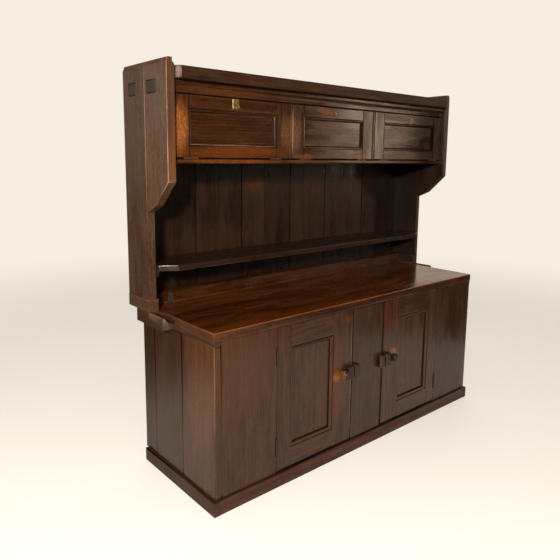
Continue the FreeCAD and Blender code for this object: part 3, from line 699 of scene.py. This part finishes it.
def addKnob(bm, x, worn, tone):
    before = set(bm.verts)
    eighth = pi / 8
    middle = Matrix.Translation(drawn((x[0] + x[1]) / 2, bolt["knobY"], bolt["knobZ"]))
    level = middle @ Matrix.Rotation(pi / 2, 4, "Y") @ Matrix.Rotation(eighth, 4, "Z")
    outer = bolt["radius"] * mm / cos(eighth)
    made = bmesh.ops.create_cone(bm, cap_ends=True, segments=8, radius1=outer, radius2=outer,
                                 depth=(x[1] - x[0]) * mm, matrix=level)
    rims = [e for e in edgesOf(made["verts"]) if abs(e.verts[0].co.x - e.verts[1].co.x) < 1 * mm]
    easeEdges(bm, rims, bolt["knobEase"])
    easeSharp(bm, freshIn(bm, before), 0.8, least=28)
    grooves, buttons = [], []
    for side, name in sides:  # each end has a turned groove round a small button
        faces = facesOf(freshIn(bm, before))
        end = max((f for f in faces if f.normal.x * side > 0.95), key=lambda f: f.calc_area())
        for step, (wide, rise) in enumerate(bolt["turned"]):
            bmesh.ops.inset_individual(bm, faces=[end], thickness=wide * mm, depth=rise * mm)
            grooves += end.verts if step in (1, 2) else ()
        buttons += end.verts
    dressBoard(bm, freshIn(bm, before), grain=0, worn=0.4 + 0.35 * worn, rub=3, tone=tone)
    for verts, amount in ((grooves, -0.8), (buttons, worn)):
        for vert in verts:
            vert[bm.verts.layers.float["wear"]] = amount


bm = startPiece()
for side, name in sides:
    addBlock(bm, mirrorSpan(bolt["keeper"], side))
makePiece(bm, boltOak, "bolt_keepers")
for side, name in sides:
    bm = startPiece()
    addBlock(bm, mirrorSpan(bolt["guide"], side))
    makePiece(bm, boltOak, name + "_bolt_guide")
    bm = startPiece()
    # the bar is painted dark, a painted shadow where it shows between guide and keeper
    addBoard(bm, mirrorSpan(bolt["bar"], side), bolt["barY"], bolt["barZ"], edge=1.2, rub=10, worn=-1.0,
             tone=-1.5)
    addKnob(bm, mirrorSpan(bolt["knob"], side), bolt["knobWear"][name], bolt["knobTone"][name])
    makePiece(bm, boltOak, name + "_bolt")
print("doors and bolts made")

# Hutch ends: sledge foot, rear board with a cap, wing board with a slanted lower end.
hutch = dict(
    out=1007, inner=968.5, wing=(258, 192), rear=(450, 204), footTop=858, top=1902, capStep=(1876, 1886),
    capIn=10, capOut=6, capFall=18, lap=(8, 9), notch=6, wingStart=1200,
    wingFoot=((258, 1398), (372, 1291), (450, 1257)), beamZ=(1764.5, 1823.5), mortiseDeep=9,
    frontMortise=(345.5, 433.5), rearMortise=(527.5, 603.5))
foot = dict(
    plan=((1011, 452), (958.5, 452), (958.5, 630), (968.5, 630), (968.5, 650), (1011, 650)), z=800, tall=58)
seam = hutch["top"] - hutch["capFall"]
capCorners = [(hutch["inner"] + hutch["capIn"], hutch["top"]), (hutch["out"] - hutch["capOut"], hutch["top"])]


def addEnd(bm, side, corners, start, deep, **finish):
    addPrism(bm, [(side * x, start, z) for x, z in corners], (0, deep, 0), **finish)


def endFoot(z):  # the corners that a wing and a rear board have in common
    return [(hutch["out"], z), (hutch["inner"], z), (hutch["inner"], hutch["capStep"][0])]


def wingWear(x, y, z):  # the left outer front arris is rubbed palest
    if x > 7 - hutch["out"]:
        return 0.3 if x > 0 else 0.35
    if z < hutch["wingFoot"][0][1] - 8:
        return 0.6
    return 0.78 if y < hutch["wing"][0] + 8 else 0.45


def rearWearAndShade(x, y, z):  # a pale line where the two boards of an end meet; the board's foot is painted black, a painted shadow
    low = z < hutch["footTop"] + 4
    if x < 7 - hutch["out"] and y < hutch["rear"][0] + 8:
        return 0.3 if low else 0.7
    return -0.8 if low else 0.2


wingCuts = []
for low, high in zip(hutch["wingFoot"][:-1], hutch["wingFoot"][1:]):
    run = Vector((0, high[0] - low[0], high[1] - low[1])).normalized()
    wingCuts.append(((0, *low), Vector((0, run.z, -run.y))))
for side, name in sides:
    frontHole, rearHole = ({"axis": 0, "sign": side, "spans": ((1, hutch[y]), (2, hutch["beamZ"])),
                            "deep": hutch["mortiseDeep"]} for y in ("frontMortise", "rearMortise"))
    cap = [(capCorners[0][0], hutch["capStep"][1]), *capCorners, (hutch["out"], seam)]
    bm = startPiece()
    addEnd(bm, side, endFoot(hutch["wingStart"]) + cap, *hutch["wing"], edge=1.8, cuts=wingCuts,
           holes=[frontHole], grain=2, worn=wingWear, rub=1.6, tone=0.7)
    makePiece(bm, hutchOak, name + "_wing_board")
    start, deep = hutch["rear"]
    boardIn, capIn = (hutch["inner"] + lap for lap in hutch["lap"])
    corners = endFoot(hutch["footTop"]) + [(boardIn, seam), (hutch["out"], seam)]
    bm = startPiece()
    addEnd(bm, side, corners, start, deep, edge=1.8, holes=[rearHole], grain=2, worn=rearWearAndShade, rub=3,
           tone=-1.5)
    corners = [(hutch["out"], seam), (capIn, seam), *capCorners]
    addEnd(bm, side, corners, start, deep - hutch["notch"], edge=1.2, grain=1, worn=0.2, tone=-0.3)
    makePiece(bm, hutchOak, name + "_rear_board")
    slabPiece(hutchOak, name + "_foot", foot, side, edge=2.4, grain=1, worn=0.55, tone=-0.3)

# Bearers: a rail under the top that swells out to carry the hutch's foot and ends in a gouged, blunt nose.
bearer = dict(
    inner=955, out=1011, rear=569, start=452, bend=350, tip=313, foot=740, noseRise=9, top=800,
    gougeFrom=(27, 452, 818), gougeTo=(13, 290, 790), gougeRadius=22, stations=26, chamfer=(2.0, 7.0),
    slant=0.8, lip=1.5, leastArris=4, leastWood=6, across=15, rail=((-955, -917), (13, 624), (740, 762)))


def bearerRing(y, cut):
    # the section at one place: distance out from the top's end, height and wear of each point
    bend = max(0.0, (bearer["bend"] - y) / (bearer["bend"] - bearer["tip"]))
    wide = (bearer["out"] - bearer["inner"]) * sqrt(1 - bend ** 2.4)
    foot = bearer["foot"] + bearer["noseRise"] * bend ** 2
    near, far, top, lip = (bearer[key] for key in ("gougeFrom", "gougeTo", "top", "lip"))
    along = (near[1] - y) / (near[1] - far[1])
    middle, height = (near[k] + along * (far[k] - near[k]) for k in (0, 2))
    ring = [(0, foot, 0.0), (wide - 3, foot, 0.2), (wide - 1, foot + 1, 0.35), (wide, foot + 3, 0.2)]
    hewn = 0.85 - 0.5 * bend if y < bearer["start"] else 0.3
    for k in range(bearer["across"] + 1):
        out = (wide - lip - bearer["slant"] * cut) * (1 - k / bearer["across"])
        off = bearer["gougeRadius"] ** 2 - (out - middle) ** 2
        sunk = min(top, height - sqrt(off)) if off > 0 and y < bearer["start"] else top
        # the gouge is painted darker, a painted shade in the hollow
        hollow = -0.5 if sunk < top - 6 and k > 2 else 0.2
        ring.append((out, max(foot + bearer["leastWood"], sunk), hewn if k < 1 else hollow))
    ring.insert(4, (wide, max(foot + bearer["leastArris"], ring[4][1] - lip - cut), hewn))
    return ring


for side, name in sides:
    bm = startPiece()
    addBoard(bm, mirrorSpan(bearer["rail"][0], side), *bearer["rail"][1:], worn=0.1, tone=0.0)
    before = set(bm.verts)
    run = bearer["start"] - bearer["tip"] - 2
    chisel = random.Random(5)  # the arris was taken down in short, uneven cuts
    cuts = [chisel.uniform(*bearer["chamfer"]) for k in range(bearer["stations"] + 1)]
    stations = [(bearer["rear"], 0.0)]
    for k in range(bearer["stations"] + 1):
        cut = cuts[k // 3] + 0.3 * cuts[k] if k else 0.0
        stations.append((bearer["start"] - run * k / bearer["stations"], cut))
    wears, rings = {}, []
    for y, cut in stations:
        rings.append([])
        for out, z, wear in bearerRing(y, cut):
            vert = bm.verts.new(drawn(side * (bearer["inner"] + out), y, z))
            rings[-1].append(vert)
            wears[vert] = wear
    for near, far in zip(rings[:-1], rings[1:]):
        for k in range(len(near)):
            bm.faces.new((near[k - 1], near[k], far[k], far[k - 1]))
    bm.faces.new(rings[0])
    bm.faces.new(rings[-1])
    fresh = freshIn(bm, before)
    bmesh.ops.recalc_face_normals(bm, faces=facesOf(fresh))
    giveGrain(bm, fresh, 1, lambda v: wears[v], 0.4)
    makePiece(bm, bearerOak, name + "_bearer")

# Hutch cross pieces: sill, tenoned top beams, cabinet top, back boards, shelf.
crossPieces = {"hutch_sill": (sillOak, (-958.5, 958.5), (561, 630), (800, 858)),
               "front_top_beam": (endOak, (-1004, 1004), (350, 432), (1770, 1822)),
               "rear_top_beam": (endOak, (-1004, 1004), (532, 602), (1770, 1822)),
               "cabinet_top": (innerOak, (-968.5, 968.5), (305, 630), (1822, 1842))}
for node, (material, *spans) in crossPieces.items():  # the sill's foot is polished by cloths
    boardPiece(material, node, [spans], worn=lambda x, y, z: 0.9 if z < 804 and y < 570 else 0.3)
# the boards at both ends have lower tones, partly their own and partly painted shade
back = dict(
    joints=(-968.5, -805, -645, -508, -354, -194, -3, 101, 282, 443, 624, 785, 968.5),
    tones=(-1.6, -1.2, 0.2, 0.0, 0.9, -0.9, 1.1, 0.5, -0.4, 0.3, -1.2, -2.0),
    open=(-645, -354, -3, 282, 624), gap=1.6, y=(630, 648), z=(800, 1842), tongueHalf=8, tongueY=(637, 643),
    tongueZ=(801, 1841))
bm = startPiece()
for low, high, tone in zip(back["joints"][:-1], back["joints"][1:], back["tones"]):
    openLow, openHigh = low in back["open"], high in back["open"]
    low += back["gap"] if openLow else 0
    high -= back["gap"] if openHigh else 0

    def jointWear(x, y, z):  # only the joints that have shrunk open are black
        return -0.8 if (openLow if x < (low + high) / 2 else openHigh) else 0.1

    addBoard(bm, (low, high), back["y"], back["z"], edge=0.8, rub=3, worn=jointWear, tone=tone)
for joint in back["open"]:
    x = (joint - back["tongueHalf"], joint + back["tongueHalf"])
    addBoard(bm, x, back["tongueY"], back["tongueZ"], edge=0.5, tone=-1)
makePiece(bm, nicheOak, "hutch_back_boards")
shelf = dict(
    plan=((-968.5, 630), (-968.5, 430), (-893.5, 383), (893.5, 383), (968.5, 430), (968.5, 630)), z=991,
    tall=27)
slabPiece(nicheOak, "hutch_shelf", shelf, edge=2.5, worn=lambda x, y, z: 0.85 if z < shelf["z"] + 4 else 0.45)

# Upper cabinet: bottom, dividers, frieze with its bead, cornice.
flaps = dict(left=(-967, -322.5), centre=(-301.5, 301.5), right=(322.5, 967))
cabinet = dict(
    x=(-968.5, 968.5), y=(283, 630), floorZ=(1475, 1497), divider=(-321, -303), dividerZ=(1497, 1766),
    hingeInset=85, hingeHalf=35.2, hingeDeep=4.2)
floorTop = cabinet["floorZ"][1]
inset, half = cabinet["hingeInset"], cabinet["hingeHalf"]
notches = [{"along": 0, "span": (x - half, x + half), "deep": cabinet["hingeDeep"],
            "corner": ((1, cabinet["y"][0], 1), (2, floorTop, -1))}
           for low, high in flaps.values() for x in (low + inset, high - inset)]
# the floor's top arris is painted black, a painted shadow in the gap under the flaps
boardPiece(flapOak, "cabinet_bottom", [(cabinet["x"], cabinet["y"], cabinet["floorZ"])], name="cabinetFloor",
           edge=2, worn=lambda x, y, z: -0.9 if z > floorTop - 4 else 0.5, notches=notches)
boardPiece(flapOak, "cabinet_dividers", bothSides((cabinet["divider"], cabinet["y"], cabinet["dividerZ"])))
frieze = dict(
    front=283, back=317, z=(1766, 1821), stripFront=275, stripFoot=1800, beadRadius=4, beadSteps=8,
    lips=((-968.5, -321), (-303, 303), (321, 968.5)), lipY=(306, 317), lipZ=(1752, 1766))
(low, high), strip, radius = frieze["z"], frieze["stripFront"], frieze["beadRadius"]
profile = [(frieze["back"], low), (frieze["front"], low)]
for k in range(frieze["beadSteps"] + 1):
    turn = pi * k / frieze["beadSteps"]
    bead = frieze["stripFoot"] - radius * (1 + cos(turn))
    profile.append((frieze["front"] - radius * sin(turn), bead))
profile += [(strip, frieze["stripFoot"]), (strip, high), (frieze["back"], high)]
start, end = cabinet["x"]
bm = startPiece()
# its lower edge is painted black, a painted shadow in the gap above the flaps
addPrism(bm, [(start, y, z) for y, z in profile], (end - start, 0, 0), edge=0.9, rub=4,
         worn=lambda x, y, z: -1.0 if z < frieze["z"][0] + 3 else 0.4)
for x in frieze["lips"]:
    addBoard(bm, x, frieze["lipY"], frieze["lipZ"], edge=1)
makePiece(bm, flapOak, "frieze")
cornice = dict(
    plan=((-968.5, 305), (-968.5, 258), (-947.5, 237), (947.5, 237), (968.5, 258), (968.5, 305)), z=1821,
    tall=50.5)
slabPiece(corniceOak, "cornice", cornice, edge=1.8, tone=-0.6, worn=0.15)

# Flaps: hinged below, keyhole in the top rail, panel grain runs along.
flap = dict(
    z=(1499, 1764), y=(283, 305), stiles=(80, 80), rails=(53, 57), bead=14, recess=11, panel=(294, 300),
    keyZ=(1727, 1739), keyHalf=3, keyDeep=9, tones=(0.4, 0.3, 0.6, 0.0),
    lockShift=dict(left=5, centre=0, right=0),
    # the bead strips' dark, dull coat: soot, and painted shade where no highlight should show
    soot=dict(left=(0, -0.3, 0, -0.35), centre=(0, -0.25, -0.6, 0), right=(-0.2, -0.2, -0.6, 0)),
    panelTone=dict(left=-0.5, centre=-0.1, right=-0.3))
for name, span in flaps.items():
    middle = (span[0] + span[1]) / 2 - flap["lockShift"][name]
    keyX = (middle - flap["keyHalf"], middle + flap["keyHalf"])
    key = {"axis": 1, "sign": -1, "spans": ((0, keyX), (2, flap["keyZ"])), "deep": flap["keyDeep"]}

    def flapWearAndShade(x, y, z):  # painted shadow in the gaps above and below, the left arris is rubbed pale
        if not flap["z"][0] + 3 < z < flap["z"][1] - 3:
            return -0.9
        return 1.05 if x < span[0] + 4 else 0.15

    extras = {k: {"worn": flapWearAndShade, "rub": 3} for k in range(4)}
    extras[3]["holes"] = [key]
    bm = startPiece()
    openX, openZ = addFrame(bm, flap, span, flap["stiles"], 0.78, extras, flap["tones"], flap["soot"][name])
    makePiece(bm, flapOak, name + "_flap_frame")
    boardPiece(flapOak, name + "_flap_panel", [(openX, flap["panel"], openZ)], crease=15, edge=0.8, grain=0,
               rub=45, tone=flap["panelTone"][name],
               worn=lambda x, y, z: 0.8 if y < flap["panel"][0] + 3 else 0.1)
print("hutch made")

# Metalwork keeps its construction shape.
for node in bodyOf:
    metal = agedBrass if "lock" in node or "escutcheon" in node else blackIron
    metal = brownIron if "flap_hinge" in node else rubbedIron if node == "tie_plates" else metal
    if "hinge" in node or node == "tie_plates" or metal is agedBrass:
        mesh = frame["nodes"][node].data
        mesh.materials.clear()
        mesh.materials.append(metal)
print("metalwork dressed")

# Studio: pale floor that fades into a pale surround, one small warm lamp beside the camera, even fill. What
# the wax mirrors is set apart: dark in front, bright behind and to the right, pale screens far to the sides.
studio = dict(
    floor="#fbf9f4", surround="#f6eee1", floorSize=60.0, floorRough=0.55, floorGlow=0.3, fade=(2.6, 6.5),
    dimFloor="#4a4038", glossFloor=(2.0, 2.25), glossRear=(0.2, 1.3, 0.0, 0.85),
    glossNear=(0.0, 1.6, 0.5, 0.25), fill=0.34, fillColour="#fff4e6", sheenColour="#ffe8cd", lean=0.9,
    leanSheen=(0.5, 0.8, 0.04, 0.75), rightSheen=(-0.3, 0.2, 0.15, 1.0), screenEdge=(1.0, 0.45),
    screens=[dict(towards=(0.752, -0.656, 0.05), reach=(0.055, 0.055, 0.2), strength=4.3),
             dict(towards=(0.792, -0.608, 0.055), reach=(0.02, 0.02, 0.03), strength=8.0),
             dict(towards=(-0.56, 0.83, 0.1), reach=(0.2, 0.15, 0.34), strength=1.6)],
    lampAt=(-3.7, -3.27, 2.44), lampAim=(-0.1, 0, 0.9), lampSize=0.35, lampWatts=270, lampColour="#fff6ea")
bm = bmesh.new()
bmesh.ops.create_grid(bm, x_segments=1, y_segments=1, size=studio["floorSize"] / 2)
mesh = meshOf("studioFloor", bm)
floor = putIn("studioFloor", mesh)
paint = bpy.data.materials.new("painted_floor")  # matt pale paint, darker where the wax mirrors it
add = emptyTree(paint)
seen = add("LightPath").outputs["Is Camera Ray"]
place = add("TexCoord").outputs["Object"]
spot = add("SeparateXYZ", (place,)).outputs
far = add("VectorMath", (place,), operation="LENGTH")
dim = add("MapRange", (far, *studio["glossFloor"]), **smooth)
rear = add("MapRange", (spot[1], *studio["glossRear"]), **smooth)
near = add("MapRange", (spot[0], *studio["glossNear"]))
for shade in (rear, near):
    dim = add("Math", (dim, shade), operation="MAXIMUM")
unseen = add("Math", (1.0, seen), operation="SUBTRACT")
dim = add("Math", (dim, unseen), operation="MULTIPLY")
colour = add("Mix", {0: dim, 6: stain(studio["floor"]), 7: stain(studio["dimFloor"])}, **tinted)
fade = add("MapRange", (far, *studio["fade"]), **smooth)
fade = add("Math", (fade, seen), operation="MULTIPLY")
shader = add("BsdfPrincipled", {"Base Color": colour, "Roughness": studio["floorRough"],
                                "Emission Color": colour, "Emission Strength": studio["floorGlow"]})
glow = add("Emission", (stain(studio["surround"]), 1.0))
blend = add("MixShader", (fade, shader, glow))
add("OutputMaterial", (blend,))
mesh.materials.append(paint)

world = bpy.data.worlds.new("studio")
scene.world = world
add = emptyTree(world)
rays = add("LightPath").outputs
place = add("TexCoord").outputs["Generated"]
spot = add("SeparateXYZ", (place,)).outputs
lean = add("Math", (spot[0], studio["lean"], spot[1]), **timesPlus)
sheen = add("MapRange", (lean, *studio["leanSheen"]), **smooth)
rightward = add("MapRange", (spot[0], *studio["rightSheen"]), **smooth)
sheen = add("Math", (sheen, rightward), operation="MULTIPLY")
for screen in studio["screens"]:
    away = add("VectorMath", (place, screen["towards"]), operation="SUBTRACT")
    away = add("VectorMath", (away, screen["reach"]), operation="DIVIDE")
    away = add("VectorMath", (away,), operation="LENGTH")
    pane = add("MapRange", (away, *studio["screenEdge"], 0.0, screen["strength"]), **smooth)
    sheen = add("Math", (sheen, pane), operation="ADD")
backdrop = add("Background", (stain(studio["surround"]), 1.0))
fill = add("Background", (stain(studio["fillColour"]), studio["fill"]))
mirror = add("Background", (stain(studio["sheenColour"]), sheen))
lit = add("MixShader", (rays["Is Glossy Ray"], fill, mirror))
mixed = add("MixShader", (rays["Is Camera Ray"], lit, backdrop))
add("OutputWorld", (mixed,))

lamp = bpy.data.lights.new("lamp", "AREA")
lamp.size = studio["lampSize"]
lamp.energy = studio["lampWatts"]
lamp.color = stain(studio["lampColour"])[:3]
stand = putIn("lamp", lamp)
stand.location = studio["lampAt"]
stand.rotation_euler = (Vector(studio["lampAim"]) - stand.location).to_track_quat("-Z", "Y").to_euler()

view = dict(
    at=(-2.1677, -2.1171, 1.5015), yaw=40.68, pitch=-8.56, roll=0.56, sensor=36.0, lens=35.96,
    shift=-0.0672)
yaw, pitch, roll = (radians(view[k]) for k in ("yaw", "pitch", "roll"))
level = Vector((sin(yaw), cos(yaw), 0))
ahead = level * cos(pitch) + Vector((0, 0, sin(pitch)))
right = Vector((cos(yaw), -sin(yaw), 0))
up = right.cross(ahead)
right, up = right * cos(roll) + up * sin(roll), up * cos(roll) - right * sin(roll)
lens = bpy.data.cameras.new("photoView")
lens.sensor_width = view["sensor"]
lens.lens = view["lens"]
lens.shift_y = view["shift"]
camera = putIn("photoView", lens)
camera.matrix_world = Matrix.Translation(view["at"]) @ Matrix((right, up, -ahead)).transposed().to_4x4()
scene.camera = camera
scene.view_settings.view_transform = "Standard"
print("studio made")
